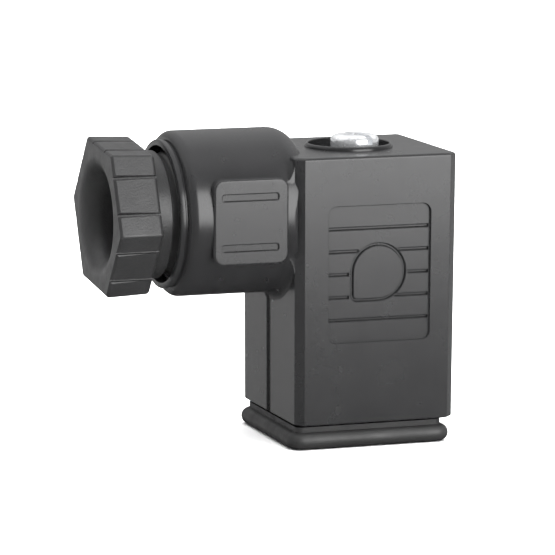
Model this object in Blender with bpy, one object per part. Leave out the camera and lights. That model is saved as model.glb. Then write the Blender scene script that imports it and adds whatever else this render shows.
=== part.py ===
"""Cable plug for a solenoid valve coil, industrial form C pattern (8 mm contact spacing).

Metres, +Z up. The origin is on the axis of the fixing screw, at the mating plane of the
gasket. The cable barrel points to -X and the ribbed panel faces -Y.
"""
import math

import bmesh
import bpy
from mathutils import Matrix, Vector

MM = 0.001
TAU = 2 * math.pi

# Housing, in millimetres like every length below; MM turns them into metres.
BODY_X = (-8.5, 7.55)
BODY_HALF_Y = 7.75
BODY_BOTTOM = 2.3
BODY_TOP = 27.6
DRAFT = 0.12
EDGE_CHAMFER = 0.75
BACK_CHAMFER = 0.2
TOP_CHAMFER = 0.25
WELL_X = -0.6
WALL = 1.25
CAVITY_X = (BODY_X[0] + DRAFT + WALL, 5.85)
CAVITY_HALF_Y = BODY_HALF_Y - DRAFT - WALL
CAVITY_TOP = 25.3

# Round well for the screw head, with its collar and the boss that carries its floor.
COLLAR_RADIUS = 4.2
COLLAR_TOP = BODY_TOP + 0.37
WELL_RADIUS = 3.85
WELL_FLOOR = 23.2
BOSS_RADIUS = 5.0
BOSS_BOTTOM = 21.9
SCREW_HOLE_RADIUS = 1.6

# Ribbed front panel.
PANEL_X = (-5.37, 4.83)
PANEL_Z = (10.0, 22.96)
PANEL_DEPTH = 0.3
PANEL_RADIUS = 0.8
RIB_LINES = 5
RIB_LINE_WIDTH = 0.26
RIB_LINE_DEPTH = 0.28
DISC_CENTRE = (-0.28, 16.6)
DISC_RADIUS = 2.62

# Vertical groove in the middle of the left face.
SIDE_GROOVE_WIDTH = 1.0
SIDE_GROOVE_DEPTH = 0.3

# Cable barrel.
BARREL_Z = 21.9
BARREL_RADIUS = 7.8
BARREL_MOUTH_X = -19.56
BARREL_BODY_X = -18.84
BARREL_ROUND_X = -8.8
BARREL_ROUND = 2.4
BARREL_EDGE = 0.85
BARREL_SIDE_ROUND = 0.8
BARREL_SIDE_ROUND_X = -9.0
LIP_RADIUS = 7.0
LIP_GROOVE_RADIUS = 6.85
LIP_X = -19.03
PAD_X = (-16.7, -9.4)
PAD_Z = (17.9, 25.95)
PAD_HALF_Y = 7.98
PAD_RADIUS = 1.0
PAD_SLOT_X = (-15.9, -10.37)
PAD_SLOT_OFFSET = 2.35
PAD_SLOT_HEIGHT = 0.62
PAD_SLOT_DEPTH = 0.3
THREAD_END_X = -13.0
SEAT_END_X = -10.6
SEAT_RADIUS = 5.45
CABLE_BORE_RADIUS = 3.4
MOUTH_BORE_RADIUS = 6.45
MOUTH_BORE_DEPTH = 1.25

# Gland thread: PG7, 12.5 mm across and 20 turns to the inch.
GLAND_PITCH = 1.27
GLAND_ROOT = 5.5
GLAND_CREST = 6.05
THREAD_CLEARANCE = 0.25
THREAD_SIDES = 24

# Gland screw.
HEX_X = (-25.6, -21.36)
HEX_CORNER = 7.85
HEX_PHASE = math.radians(6.5)
HEX_CHAMFER = 0.22
HEX_DRAFT = 0.15
HEX_GROOVE_OFFSET = 1.78
HEX_GROOVE_WIDTH = 0.34
HEX_GROOVE_DEPTH = 0.3
NECK_RADIUS = 6.0
NECK_END_X = -19.98
RELIEF_RADIUS = 5.5
SHANK_THREAD_X = (-19.4, -19.4 + 2.5 * GLAND_PITCH)
SHANK_END_X = -16.0
GLAND_BORE = 3.8
GLAND_MOUTH_ROUND = 1.9

# Pressure washer and rubber seal in the barrel.
GLAND_WASHER_X = (-15.85, -15.15)
GLAND_WASHER_RADII = (3.9, 5.25)
GLAND_SEAL_X = (-13.75, -10.75)
GLAND_SEAL_RADII = (3.2, 5.25)

# Base gasket.
GASKET_X = (-9.0, 7.2)
GASKET_HALF_Y = 7.9
GASKET_CORNER = 1.5
GASKET_BEAD = 1.6
GASKET_TOP = 2.12
GASKET_NECK_INSET = 0.8
GASKET_FOOT_INSET = 0.68
GASKET_OPENING_X = (-7.15, 5.95)
GASKET_OPENING_HALF_Y = 6.4

# Fixing screw, M2.5 with a cheese head, and the pieces it carries.
SCREW_HEAD_RADIUS = 2.3
SCREW_HEAD_Z = (27.0, 28.75)
SCREW_PLAIN_RADIUS = 1.05
SCREW_ROOT = 0.98
SCREW_CREST = 1.25
SCREW_PITCH = 0.45
SCREW_THREAD_Z = (0.6, 7.8)
SCREW_SLOT_WIDTH = 0.6
SCREW_SLOT_DEPTH = 0.8
WASHER_Z = (26.35, 26.85)
WASHER_RADII = (1.4, 2.9)
RETAINER_Z = (18.3, 19.3)
RETAINER_RADII = (1.2, 2.3)
O_RING_Z = (23.35, 23.95)
O_RING_RADII = (1.75, 2.75)

# Contact block that slides up into the housing.
BLOCK_X = (CAVITY_X[0] + 0.2, CAVITY_X[1] - 0.2)
BLOCK_HALF_Y = CAVITY_HALF_Y - 0.2
BLOCK_Z = (1.9, 14.9)
BLOCK_HOLE_RADIUS = 1.75
BLOCK_KEY = 1.2
CONTACT_SPACING = 8.0
POCKET_RADIAL = (2.3, 5.1)
POCKET_HALF_WIDTH = 1.9
POCKET_FLOOR = 4.0
BLADE_SLOT = (3.2, 1.0)
CONTACT_GAP = 0.15
LEAF_THICKNESS = 0.4
LEAF_GAP = 0.7
LEAF_Z = (4.2, 9.6)
NUT_Z = (9.6, 12.0)
CLAMP_Z = (12.6, 13.1)
CLAMP_HALF = (1.15, 1.55)
TERMINAL_SCREW_HEAD_Z = (13.25, 14.4)
TERMINAL_SCREW_HEAD_RADIUS = 1.15
TERMINAL_SCREW_RADIUS = 0.85
TERMINAL_SCREW_END = 9.9
TERMINAL_HOLE_RADIUS = 1.0
CONTACTS = (("contact_1", 90), ("contact_2", -90), ("contact_3", 180), ("contact_earth", 0))

FINE_SIDES = 48
ROUND_SIDES = 32
SMALL_SIDES = 20
TERMINAL_SIDES = 16
SHARP_ANGLE = math.radians(32)


def material(name, colour, roughness, metallic=0.0):
    """Make a plain material with one Principled shader."""
    mat = bpy.data.materials.new(name)
    mat.use_nodes = True
    shader = mat.node_tree.nodes["Principled BSDF"]
    shader.inputs["Base Color"].default_value = (*colour, 1.0)
    shader.inputs["Roughness"].default_value = roughness
    shader.inputs["Metallic"].default_value = metallic
    return mat


def empty(name, origin=(0, 0, 0)):
    """An empty that carries the pieces of one moving group."""
    holder = bpy.data.objects.new(name, None)
    holder.location = Vector(origin) * MM
    bpy.context.scene.collection.objects.link(holder)
    return holder


def finish(name, bm, mat=None, origin=(0, 0, 0), parent=None, smooth=True):
    """Turn a bmesh in millimetres about its own origin into an object placed at origin."""
    bmesh.ops.recalc_face_normals(bm, faces=bm.faces)
    bmesh.ops.scale(bm, vec=(MM, MM, MM), verts=bm.verts)
    mesh = bpy.data.meshes.new(name)
    bm.to_mesh(mesh)
    bm.free()
    obj = bpy.data.objects.new(name, mesh)
    bpy.context.scene.collection.objects.link(obj)
    place = Vector(origin) * MM
    if parent is not None:
        obj.parent = parent
        place -= parent.location
    obj.location = place
    if mat is not None:
        mesh.materials.append(mat)
    if smooth:
        mesh.shade_smooth()
        mesh.set_sharp_from_angle(angle=SHARP_ANGLE)
    return obj


def helper(obj):
    """Mark an object as a tool for Boolean modifiers only."""
    obj.hide_render = True
    obj.display_type = "WIRE"
    return obj


def boolean(target, tool, operation="DIFFERENCE"):
    """Cut, join or intersect target with tool."""
    mod = target.modifiers.new(f"{operation.lower()}_{tool.name}", "BOOLEAN")
    mod.operation = operation
    mod.solver = "EXACT"
    mod.object = helper(tool)


def lathe(profile, sides, axis="Z", phase=0.0):
    """Revolve a closed outline of (along, radius) points; a zero radius closes on the axis."""
    bm = bmesh.new()
    rings = []
    for along, radius in profile:
        count = 1 if radius == 0 else sides
        ring = []
        for i in range(count):
            angle = TAU * i / sides + phase
            ring.append(bm.verts.new((radius * math.cos(angle), radius * math.sin(angle), along)))
        rings.append(ring)
    closed = all(radius > 0 for along, radius in profile)
    for j in range(len(rings) if closed else len(rings) - 1):
        lower, upper = rings[j], rings[(j + 1) % len(rings)]
        for i in range(sides):
            k = (i + 1) % sides
            corners = [lower[i % len(lower)], lower[k % len(lower)],
                       upper[k % len(upper)], upper[i % len(upper)]]
            bm.faces.new(list(dict.fromkeys(corners)))
    if axis == "X":
        bmesh.ops.rotate(bm, verts=bm.verts, matrix=Matrix.Rotation(math.pi / 2, 3, "Y"))
    return bm


def arc(centre, radius, start, stop, steps):
    """Points along an arc, angles in degrees."""
    points = []
    for i in range(steps + 1):
        angle = math.radians(start + (stop - start) * i / steps)
        points.append((centre[0] + radius * math.cos(angle), centre[1] + radius * math.sin(angle)))
    return points


def rounded_rectangle(low, high, radius, steps=4):
    """Outline of a rectangle with round corners, anticlockwise."""
    x0, y0 = low[0] + radius, low[1] + radius
    x1, y1 = high[0] - radius, high[1] - radius
    points = arc((x1, y1), radius, 0, 90, steps)
    points += arc((x0, y1), radius, 90, 180, steps)
    points += arc((x0, y0), radius, 180, 270, steps)
    points += arc((x1, y0), radius, 270, 360, steps)
    return points


def prism(outline, low, high, axis="Z"):
    """Extrude an outline along an axis. Y takes (x, z) points and X takes (y, z) points."""
    bm = bmesh.new()
    place = {"Z": lambda u, v: (u, v, low), "Y": lambda u, v: (u, low, v), "X": lambda u, v: (low, u, v)}
    face = bm.faces.new([bm.verts.new(place[axis](u, v)) for u, v in outline])
    step = {"Z": (0, 0, high - low), "Y": (0, high - low, 0), "X": (high - low, 0, 0)}[axis]
    grown = bmesh.ops.extrude_face_region(bm, geom=[face])
    moved = [item for item in grown["geom"] if isinstance(item, bmesh.types.BMVert)]
    bmesh.ops.translate(bm, verts=moved, vec=step)
    return bm


def block(x, y, z):
    """A box from its three ranges."""
    return prism([(x[0], y[0]), (x[1], y[0]), (x[1], y[1]), (x[0], y[1])], z[0], z[1])


def loft(rings):
    """Skin a stack of outlines with equal point counts and cap both ends."""
    bm = bmesh.new()
    rows = [[bm.verts.new(point) for point in ring] for ring in rings]
    count = len(rows[0])
    for lower, upper in zip(rows, rows[1:]):
        for i in range(count):
            k = (i + 1) % count
            bm.faces.new((lower[i], lower[k], upper[k], upper[i]))
    bm.faces.new(rows[0])
    bm.faces.new(rows[-1])
    return bm


def thread_height(phase):
    """Height of a V thread with flats, from 0 at the root to 1 at the crest."""
    part = phase % 1.0
    slope = abs(part - 0.5) * 2
    return min(1.0, max(0.0, slope * 1.5 - 0.25))


def threaded_rod(before, span, radii, pitch, after, sides, rows_per_turn=8, phase=0.0,
                 fade_start=True):
    """A turned solid along Z with a threaded stretch; before and after are (along, radius) rings."""
    low, high = span
    root, crest = radii
    bm = bmesh.new()
    rows = round((high - low) / pitch * rows_per_turn)
    grid = []

    def add_ring(along, radius_at):
        ring = []
        for i in range(sides):
            turn = i / sides + phase
            radius = radius_at(turn)
            ring.append(bm.verts.new((radius * math.cos(TAU * turn), radius * math.sin(TAU * turn), along)))
        grid.append(ring)

    for along, radius in before:
        add_ring(along, lambda turn: radius)
    for j in range(rows + 1):
        along = low + (high - low) * j / rows
        fade = min(1.0, (high - along) / pitch * 2)
        if fade_start:
            fade = min(fade, (along - low) / pitch * 2)
        turns = (along - low) / pitch
        add_ring(along, lambda turn: root + (crest - root) * fade * thread_height(turns - turn))
    for along, radius in after:
        add_ring(along, lambda turn: radius)
    for lower, upper in zip(grid, grid[1:]):
        for i in range(sides):
            k = (i + 1) % sides
            bm.faces.new((lower[i], lower[k], upper[k], upper[i]))
    bm.faces.new(grid[0])
    bm.faces.new(grid[-1])
    return bm


def along_x(bm):
    """Turn a shape made along Z so that it lies along X, with its angles measured from +Y."""
    turn = Matrix(((0, 0, 1), (1, 0, 0), (0, 1, 0)))
    bmesh.ops.transform(bm, matrix=turn.to_4x4(), verts=bm.verts)
    return bm


def body_outline(inset, height):
    """Rectangle of the housing at one height, its front edges chamfered more than its back ones."""
    x0, x1 = BODY_X[0] + inset, BODY_X[1] - inset
    y = BODY_HALF_Y - inset
    c, b = EDGE_CHAMFER, BACK_CHAMFER
    flat = [(x1, -y + c), (x1, y - b), (x1 - b, y), (x0 + b, y),
            (x0, y - b), (x0, -y + c), (x0 + c, -y), (x1 - c, -y)]
    return [(x, v, height) for x, v in flat]


def barrel_profile():
    """Outer outline of the cable barrel along X, closed on the axis inside the housing."""
    round_centre = (BARREL_ROUND_X, BARREL_RADIUS - BARREL_ROUND)
    points = [(BARREL_MOUTH_X, 0), (BARREL_MOUTH_X, LIP_RADIUS - 0.1), (BARREL_MOUTH_X + 0.1, LIP_RADIUS),
              (LIP_X, LIP_RADIUS), (LIP_X, LIP_GROOVE_RADIUS), (BARREL_BODY_X, LIP_GROOVE_RADIUS)]
    points += arc((BARREL_BODY_X + BARREL_EDGE, BARREL_RADIUS - BARREL_EDGE), BARREL_EDGE, 180, 90, 3)
    points += arc(round_centre, BARREL_ROUND, 90, 0, 6)
    points.append((round_centre[0] + BARREL_ROUND, 0))
    return points


def grip_pad(name, side):
    """Raised flat pad on one side of the barrel, with its two slots."""
    span = sorted((side * PAD_HALF_Y, side * (PAD_HALF_Y - 3.2)))
    outline = rounded_rectangle((PAD_X[0], PAD_Z[0]), (PAD_X[1], PAD_Z[1]), PAD_RADIUS)
    return finish(name, prism(outline, span[0], span[1], "Y"))


def pad_slot(name, side, offset):
    """Horizontal slot in a grip pad."""
    middle = BARREL_Z + offset
    y = sorted((side * (PAD_HALF_Y - PAD_SLOT_DEPTH), side * (PAD_HALF_Y + 1)))
    z = (middle - PAD_SLOT_HEIGHT / 2, middle + PAD_SLOT_HEIGHT / 2)
    return finish(name, block(PAD_SLOT_X, y, z))


def barrel_plan():
    """Prism with the barrel's outline from above, whose round ends run into the corner chamfers."""
    half = BARREL_RADIUS + 0.02
    centre_y = half - BARREL_SIDE_ROUND
    front_end = arc((BARREL_SIDE_ROUND_X, -centre_y), BARREL_SIDE_ROUND, -90, 0, 5)
    back_end = arc((BARREL_SIDE_ROUND_X, centre_y), BARREL_SIDE_ROUND, 0, 90, 5)
    inside_x = BODY_X[0] + 3
    outline = [(BARREL_MOUTH_X - 1, -half)] + front_end + [(inside_x, -centre_y), (inside_x, centre_y)]
    outline += back_end + [(BARREL_MOUTH_X - 1, half)]
    return prism(outline, BARREL_Z - BARREL_RADIUS - 1, BARREL_Z + BARREL_RADIUS + 1)


def front_panel(housing):
    """Recessed panel with its lines and the disc that interrupts them."""
    face = -BODY_HALF_Y + DRAFT / 2
    deep = face + PANEL_DEPTH
    outline = rounded_rectangle((PANEL_X[0], PANEL_Z[0]), (PANEL_X[1], PANEL_Z[1]), PANEL_RADIUS)
    boolean(housing, finish("panel_recess", prism(outline, face - 1, deep, "Y")))
    pitch = (PANEL_Z[1] - PANEL_Z[0]) / (RIB_LINES + 1)
    for line in range(RIB_LINES):
        z = PANEL_Z[0] + pitch * (line + 1)
        span = (z - RIB_LINE_WIDTH / 2, z + RIB_LINE_WIDTH / 2)
        reach = DISC_RADIUS ** 2 - (z - DISC_CENTRE[1]) ** 2
        stretches = [(PANEL_X[0] + 0.3, PANEL_X[1] - 0.3)]
        if reach > 0:
            half = math.sqrt(reach) + 0.1
            stretches = [(PANEL_X[0] + 0.3, DISC_CENTRE[0] - half), (DISC_CENTRE[0] + half, PANEL_X[1] - 0.3)]
        for number, stretch in enumerate(stretches):
            cutter = block(stretch, (deep - 0.5, deep + RIB_LINE_DEPTH), span)
            boolean(housing, finish(f"rib_line_{line}_{number}", cutter))
    ring = [(deep - 0.5, DISC_RADIUS - 0.14), (deep - 0.5, DISC_RADIUS + 0.14),
            (deep + RIB_LINE_DEPTH, DISC_RADIUS + 0.14), (deep + RIB_LINE_DEPTH, DISC_RADIUS - 0.14)]
    disc = lathe(ring, ROUND_SIDES)
    bmesh.ops.rotate(disc, verts=disc.verts, matrix=Matrix.Rotation(-math.pi / 2, 3, "X"))
    boolean(housing, finish("disc_line", disc, origin=(DISC_CENTRE[0], 0, DISC_CENTRE[1])))


def make_housing(mat):
    """One-piece body: box, barrel, panel, screw well and the threaded cable entry."""
    rings = [body_outline(DRAFT, BODY_BOTTOM),
             body_outline(0, BODY_TOP - TOP_CHAMFER),
             body_outline(TOP_CHAMFER, BODY_TOP)]
    housing = finish("housing", loft(rings), mat)
    barrel = finish("barrel_shape", lathe(barrel_profile(), FINE_SIDES, "X"), origin=(0, 0, BARREL_Z))
    boolean(barrel, finish("barrel_plan", barrel_plan()), "INTERSECT")
    boolean(housing, barrel, "UNION")
    collar = [(BODY_TOP - 1, 0), (BODY_TOP - 1, COLLAR_RADIUS), (BODY_TOP + 0.1, COLLAR_RADIUS),
              (COLLAR_TOP, COLLAR_RADIUS - 0.2), (COLLAR_TOP, 0)]
    boolean(housing, finish("collar_shape", lathe(collar, FINE_SIDES), origin=(WELL_X, 0, 0)), "UNION")
    for side, name in ((-1, "front"), (1, "back")):
        boolean(housing, grip_pad(f"{name}_pad", side), "UNION")
        for offset in (-PAD_SLOT_OFFSET, PAD_SLOT_OFFSET):
            boolean(housing, pad_slot(f"{name}_slot_{'upper' if offset > 0 else 'lower'}", side, offset))

    groove = block((BODY_X[0] - 0.5, BODY_X[0] + DRAFT + SIDE_GROOVE_DEPTH),
                   (-SIDE_GROOVE_WIDTH / 2 + 0.45, SIDE_GROOVE_WIDTH / 2 + 0.45),
                   (BODY_BOTTOM - 0.5, BARREL_Z - BARREL_RADIUS - 0.1))
    boolean(housing, finish("side_groove", groove))

    cavity = finish("cavity", block(CAVITY_X, (-CAVITY_HALF_Y, CAVITY_HALF_Y), (0, CAVITY_TOP)))
    boss = [(BOSS_BOTTOM, 0), (BOSS_BOTTOM, BOSS_RADIUS), (CAVITY_TOP + 1, BOSS_RADIUS), (CAVITY_TOP + 1, 0)]
    boolean(cavity, finish("boss", lathe(boss, ROUND_SIDES, phase=0.05), origin=(WELL_X, 0, 0)))
    boolean(housing, cavity)
    well = [(WELL_FLOOR, 0), (WELL_FLOOR, WELL_RADIUS), (BODY_TOP + 2, WELL_RADIUS), (BODY_TOP + 2, 0)]
    boolean(housing, finish("well", lathe(well, FINE_SIDES, phase=0.02), origin=(WELL_X, 0, 0)))
    hole = [(BOSS_BOTTOM - 1, 0), (BOSS_BOTTOM - 1, SCREW_HOLE_RADIUS),
            (WELL_FLOOR + 1, SCREW_HOLE_RADIUS), (WELL_FLOOR + 1, 0)]
    boolean(housing, finish("screw_hole", lathe(hole, SMALL_SIDES, phase=0.11)))

    clear = THREAD_CLEARANCE
    mouth_end = BARREL_MOUTH_X + MOUTH_BORE_DEPTH
    before = [(BARREL_MOUTH_X - 1, MOUTH_BORE_RADIUS), (mouth_end, MOUTH_BORE_RADIUS)]
    after = [(THREAD_END_X + 0.2, SEAT_RADIUS), (SEAT_END_X, SEAT_RADIUS),
             (SEAT_END_X, CABLE_BORE_RADIUS), (CAVITY_X[0] + 1, CABLE_BORE_RADIUS)]
    thread_start = SHANK_THREAD_X[0] + GLAND_PITCH
    bore = threaded_rod(before, (thread_start, thread_start + 4 * GLAND_PITCH),
                        (GLAND_ROOT + clear, GLAND_CREST + clear), GLAND_PITCH, after, THREAD_SIDES,
                        phase=0.008, fade_start=False)
    boolean(housing, finish("cable_bore", along_x(bore), origin=(0, 0, BARREL_Z)))

    front_panel(housing)
    return housing


def make_gasket(mat):
    """Profile gasket with a round bead, a neck and a rectangular opening."""
    radius = GASKET_BEAD / 2
    stations = [(0.0, GASKET_FOOT_INSET)]
    stations += [(radius + side, radius - out) for out, side in arc((0, 0), radius, -65, 65, 6)]
    stations += [(GASKET_BEAD, GASKET_NECK_INSET), (GASKET_TOP, GASKET_NECK_INSET)]
    rings = []
    for height, inset in stations:
        low = (GASKET_X[0] + inset, -GASKET_HALF_Y + inset)
        high = (GASKET_X[1] - inset, GASKET_HALF_Y - inset)
        flat = rounded_rectangle(low, high, GASKET_CORNER - inset)
        rings.append([(x, y, height) for x, y in flat])
    gasket = finish("base_gasket", loft(rings), mat)
    opening = rounded_rectangle((GASKET_OPENING_X[0], -GASKET_OPENING_HALF_Y),
                                (GASKET_OPENING_X[1], GASKET_OPENING_HALF_Y), 0.4, 2)
    boolean(gasket, finish("gasket_opening", prism(outline=opening, low=-1, high=GASKET_TOP + 1)))
    return gasket


def ring(name, mat, span, radii, sides, axis="Z", origin=(0, 0, 0), parent=None, edge=0.0):
    """Plain washer or seal, optionally with bevelled edges."""
    low, high = span
    inner, outer = radii
    profile = [(low, inner), (low, outer), (high, outer), (high, inner)]
    if edge > 0:
        profile = [(low + edge, inner), (low, inner + edge), (low, outer - edge), (low + edge, outer),
                   (high - edge, outer), (high, outer - edge), (high, inner + edge), (high - edge, inner)]
    if axis == "X":
        return finish(name, along_x(lathe(profile, sides)), mat, origin, parent)
    return finish(name, lathe(profile, sides), mat, origin, parent)


def hexagon(radius, x):
    """Points of the gland's hexagon at one place along X."""
    points = []
    for corner in range(6):
        angle = HEX_PHASE + corner * math.pi / 3
        points.append((x, radius * math.cos(angle), radius * math.sin(angle)))
    return points


def make_gland_screw(mat, parent):
    """Hollow hexagon screw with grip grooves, a plain neck and the PG7 thread."""
    front, back = HEX_X
    rings = [hexagon(HEX_CORNER - HEX_CHAMFER, front), hexagon(HEX_CORNER, front + HEX_CHAMFER),
             hexagon(HEX_CORNER - HEX_DRAFT, back - 0.35), hexagon(HEX_CORNER - HEX_DRAFT - 0.35, back)]
    gland = finish("gland_screw", loft(rings), mat, (0, 0, BARREL_Z), parent)
    before = [(back - 1, NECK_RADIUS), (NECK_END_X, NECK_RADIUS), (NECK_END_X, RELIEF_RADIUS)]
    after = [(SHANK_END_X - 0.15, RELIEF_RADIUS - 0.05), (SHANK_END_X, RELIEF_RADIUS - 0.2)]
    shank = threaded_rod(before, SHANK_THREAD_X, (GLAND_ROOT, GLAND_CREST), GLAND_PITCH, after,
                         THREAD_SIDES)
    boolean(gland, finish("gland_shank", along_x(shank), origin=(0, 0, BARREL_Z)), "UNION")
    mouth = GLAND_BORE + GLAND_MOUTH_ROUND
    bore = [(front - 1, 0), (front - 1, mouth)]
    bore += arc((front + GLAND_MOUTH_ROUND, mouth), GLAND_MOUTH_ROUND, 180, 270, 6)
    bore += [(SHANK_END_X + 1, GLAND_BORE), (SHANK_END_X + 1, 0)]
    through = along_x(lathe(bore, ROUND_SIDES, phase=0.03))
    boolean(gland, finish("gland_bore", through, origin=(0, 0, BARREL_Z)))
    flat_distance = HEX_CORNER * math.cos(math.pi / 6)
    for facet in range(6):
        turn = Matrix.Rotation(HEX_PHASE + (facet + 0.5) * math.pi / 3, 3, "X")
        for side in (-1, 1):
            middle = side * HEX_GROOVE_OFFSET
            span = (middle - HEX_GROOVE_WIDTH / 2, middle + HEX_GROOVE_WIDTH / 2)
            floor = flat_distance - HEX_GROOVE_DEPTH
            cut = block((front - 0.5, back + 0.5), (floor, flat_distance + 1), span)
            bmesh.ops.rotate(cut, verts=cut.verts, matrix=turn)
            label = f"grip_groove_{facet}_{'a' if side < 0 else 'b'}"
            boolean(gland, finish(label, cut, origin=(0, 0, BARREL_Z)))
    return gland


def make_fixing_screw(mat, parent):
    """Long slotted M2.5 screw with a plain shank above its thread."""
    low, high = SCREW_HEAD_Z
    root = SCREW_ROOT - 0.02
    before = [(0, root - 0.25), (0.25, root)]
    after = [(SCREW_THREAD_Z[1] + 0.2, SCREW_PLAIN_RADIUS), (low, SCREW_PLAIN_RADIUS),
             (low, SCREW_HEAD_RADIUS - 0.1), (low + 0.1, SCREW_HEAD_RADIUS),
             (high - 0.5, SCREW_HEAD_RADIUS - 0.05), (high - 0.15, SCREW_HEAD_RADIUS - 0.3),
             (high, SCREW_HEAD_RADIUS - 0.8)]
    shape = threaded_rod(before, SCREW_THREAD_Z, (SCREW_ROOT, SCREW_CREST), SCREW_PITCH, after,
                         SMALL_SIDES, 3)
    screw = finish("fixing_screw", shape, mat, (0, 0, 0), parent)
    for number, turn in enumerate((0.0, math.pi / 2)):
        slot = block((-SCREW_SLOT_WIDTH / 2, SCREW_SLOT_WIDTH / 2), (-1.75, 1.75),
                     (high - SCREW_SLOT_DEPTH, high + 1))
        bmesh.ops.rotate(slot, verts=slot.verts, matrix=Matrix.Rotation(turn + 0.35, 3, "Z"))
        boolean(screw, finish(f"screw_cross_{number}", slot))
    return screw


def make_contact_block(mat, parent):
    """Insulating block with a pocket and a blade slot for each contact."""
    x0, x1 = BLOCK_X
    y = BLOCK_HALF_Y
    k = BLOCK_KEY
    outline = [(x1, -y), (x1, y), (x0 + k, y), (x0, y - k), (x0, -y + k), (x0 + k, -y)]
    insert = finish("contact_block", prism(outline, *BLOCK_Z), mat, (0, 0, 0), parent)
    hole = [(0, 0), (0, BLOCK_HOLE_RADIUS), (BLOCK_Z[1] + 1, BLOCK_HOLE_RADIUS), (BLOCK_Z[1] + 1, 0)]
    boolean(insert, finish("block_hole", lathe(hole, SMALL_SIDES, phase=0.07)))
    middle = CONTACT_SPACING / 2
    for name, degrees in CONTACTS:
        turn = Matrix.Rotation(math.radians(degrees), 3, "Z")
        pocket = block(POCKET_RADIAL, (-POCKET_HALF_WIDTH, POCKET_HALF_WIDTH), (POCKET_FLOOR, BLOCK_Z[1] + 1))
        slot = block((middle - BLADE_SLOT[1] / 2, middle + BLADE_SLOT[1] / 2),
                     (-BLADE_SLOT[0] / 2, BLADE_SLOT[0] / 2), (0, POCKET_FLOOR + 1))
        for kind, shape in (("pocket", pocket), ("blade_slot", slot)):
            bmesh.ops.rotate(shape, verts=shape.verts, matrix=turn)
            boolean(insert, finish(f"{kind}_{name}", shape))
    return insert


def terminal_hole(span):
    """Round cutter for a terminal screw, through a piece that spans these heights."""
    low, high = span[0] - 1, span[1] + 1
    return lathe([(low, 0), (low, TERMINAL_HOLE_RADIUS), (high, TERMINAL_HOLE_RADIUS), (high, 0)],
                 TERMINAL_SIDES)


def make_contact(name, degrees, mat, parent):
    """Brass contact: a nut block with two spring leaves below it."""
    low, high = POCKET_RADIAL[0] + CONTACT_GAP, POCKET_RADIAL[1] - CONTACT_GAP
    width = POCKET_HALF_WIDTH - CONTACT_GAP
    middle = CONTACT_SPACING / 2
    turn = Matrix.Rotation(math.radians(degrees), 3, "Z")

    def turned(shape):
        bmesh.ops.rotate(shape, verts=shape.verts, matrix=turn)
        return shape

    contact = finish(name, turned(block((low, high), (-width, width), NUT_Z)), mat, (0, 0, 0), parent)
    for label, inner in (("inner", middle - LEAF_GAP / 2 - LEAF_THICKNESS), ("outer", middle + LEAF_GAP / 2)):
        leaf = block((inner, inner + LEAF_THICKNESS), (-width + 0.3, width - 0.3),
                     (LEAF_Z[0], LEAF_Z[1] + 0.5))
        boolean(contact, finish(f"{name}_{label}_leaf", turned(leaf)), "UNION")
    radial = (low + high) / 2
    centre = turn @ Vector((radial, 0, 0))
    boolean(contact, finish(f"{name}_hole", terminal_hole(NUT_Z), origin=centre))
    return contact


def make_terminal(name, degrees, materials, insert_holder):
    """Wire clamp and terminal screw on top of one contact."""
    label = name.replace("contact_", "")
    radial = (POCKET_RADIAL[0] + POCKET_RADIAL[1]) / 2
    turn = Matrix.Rotation(math.radians(degrees), 3, "Z")
    centre = turn @ Vector((radial, 0, 0))
    holder = empty(f"terminal_{label}_axis", centre)
    holder.parent = insert_holder
    plate = block((-CLAMP_HALF[0], CLAMP_HALF[0]), (-CLAMP_HALF[1], CLAMP_HALF[1]), CLAMP_Z)
    bmesh.ops.rotate(plate, verts=plate.verts, matrix=turn)
    clamp = finish(f"wire_clamp_{label}", plate, materials["zinc"], centre, holder)
    boolean(clamp, finish(f"clamp_hole_{label}", terminal_hole(CLAMP_Z), origin=centre))
    head_low, head_high = TERMINAL_SCREW_HEAD_Z
    profile = [(TERMINAL_SCREW_END, 0), (TERMINAL_SCREW_END, TERMINAL_SCREW_RADIUS - 0.2),
               (TERMINAL_SCREW_END + 0.2, TERMINAL_SCREW_RADIUS), (head_low, TERMINAL_SCREW_RADIUS),
               (head_low, TERMINAL_SCREW_HEAD_RADIUS), (head_high - 0.2, TERMINAL_SCREW_HEAD_RADIUS),
               (head_high, TERMINAL_SCREW_HEAD_RADIUS - 0.2), (head_high, 0)]
    screw = finish(f"terminal_screw_{label}", lathe(profile, TERMINAL_SIDES), materials["zinc"],
                   centre, holder)
    slot = block((-1.5, 1.5), (-0.2, 0.2), (head_high - 0.5, head_high + 1))
    boolean(screw, finish(f"terminal_slot_{label}", slot, origin=centre))


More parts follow.
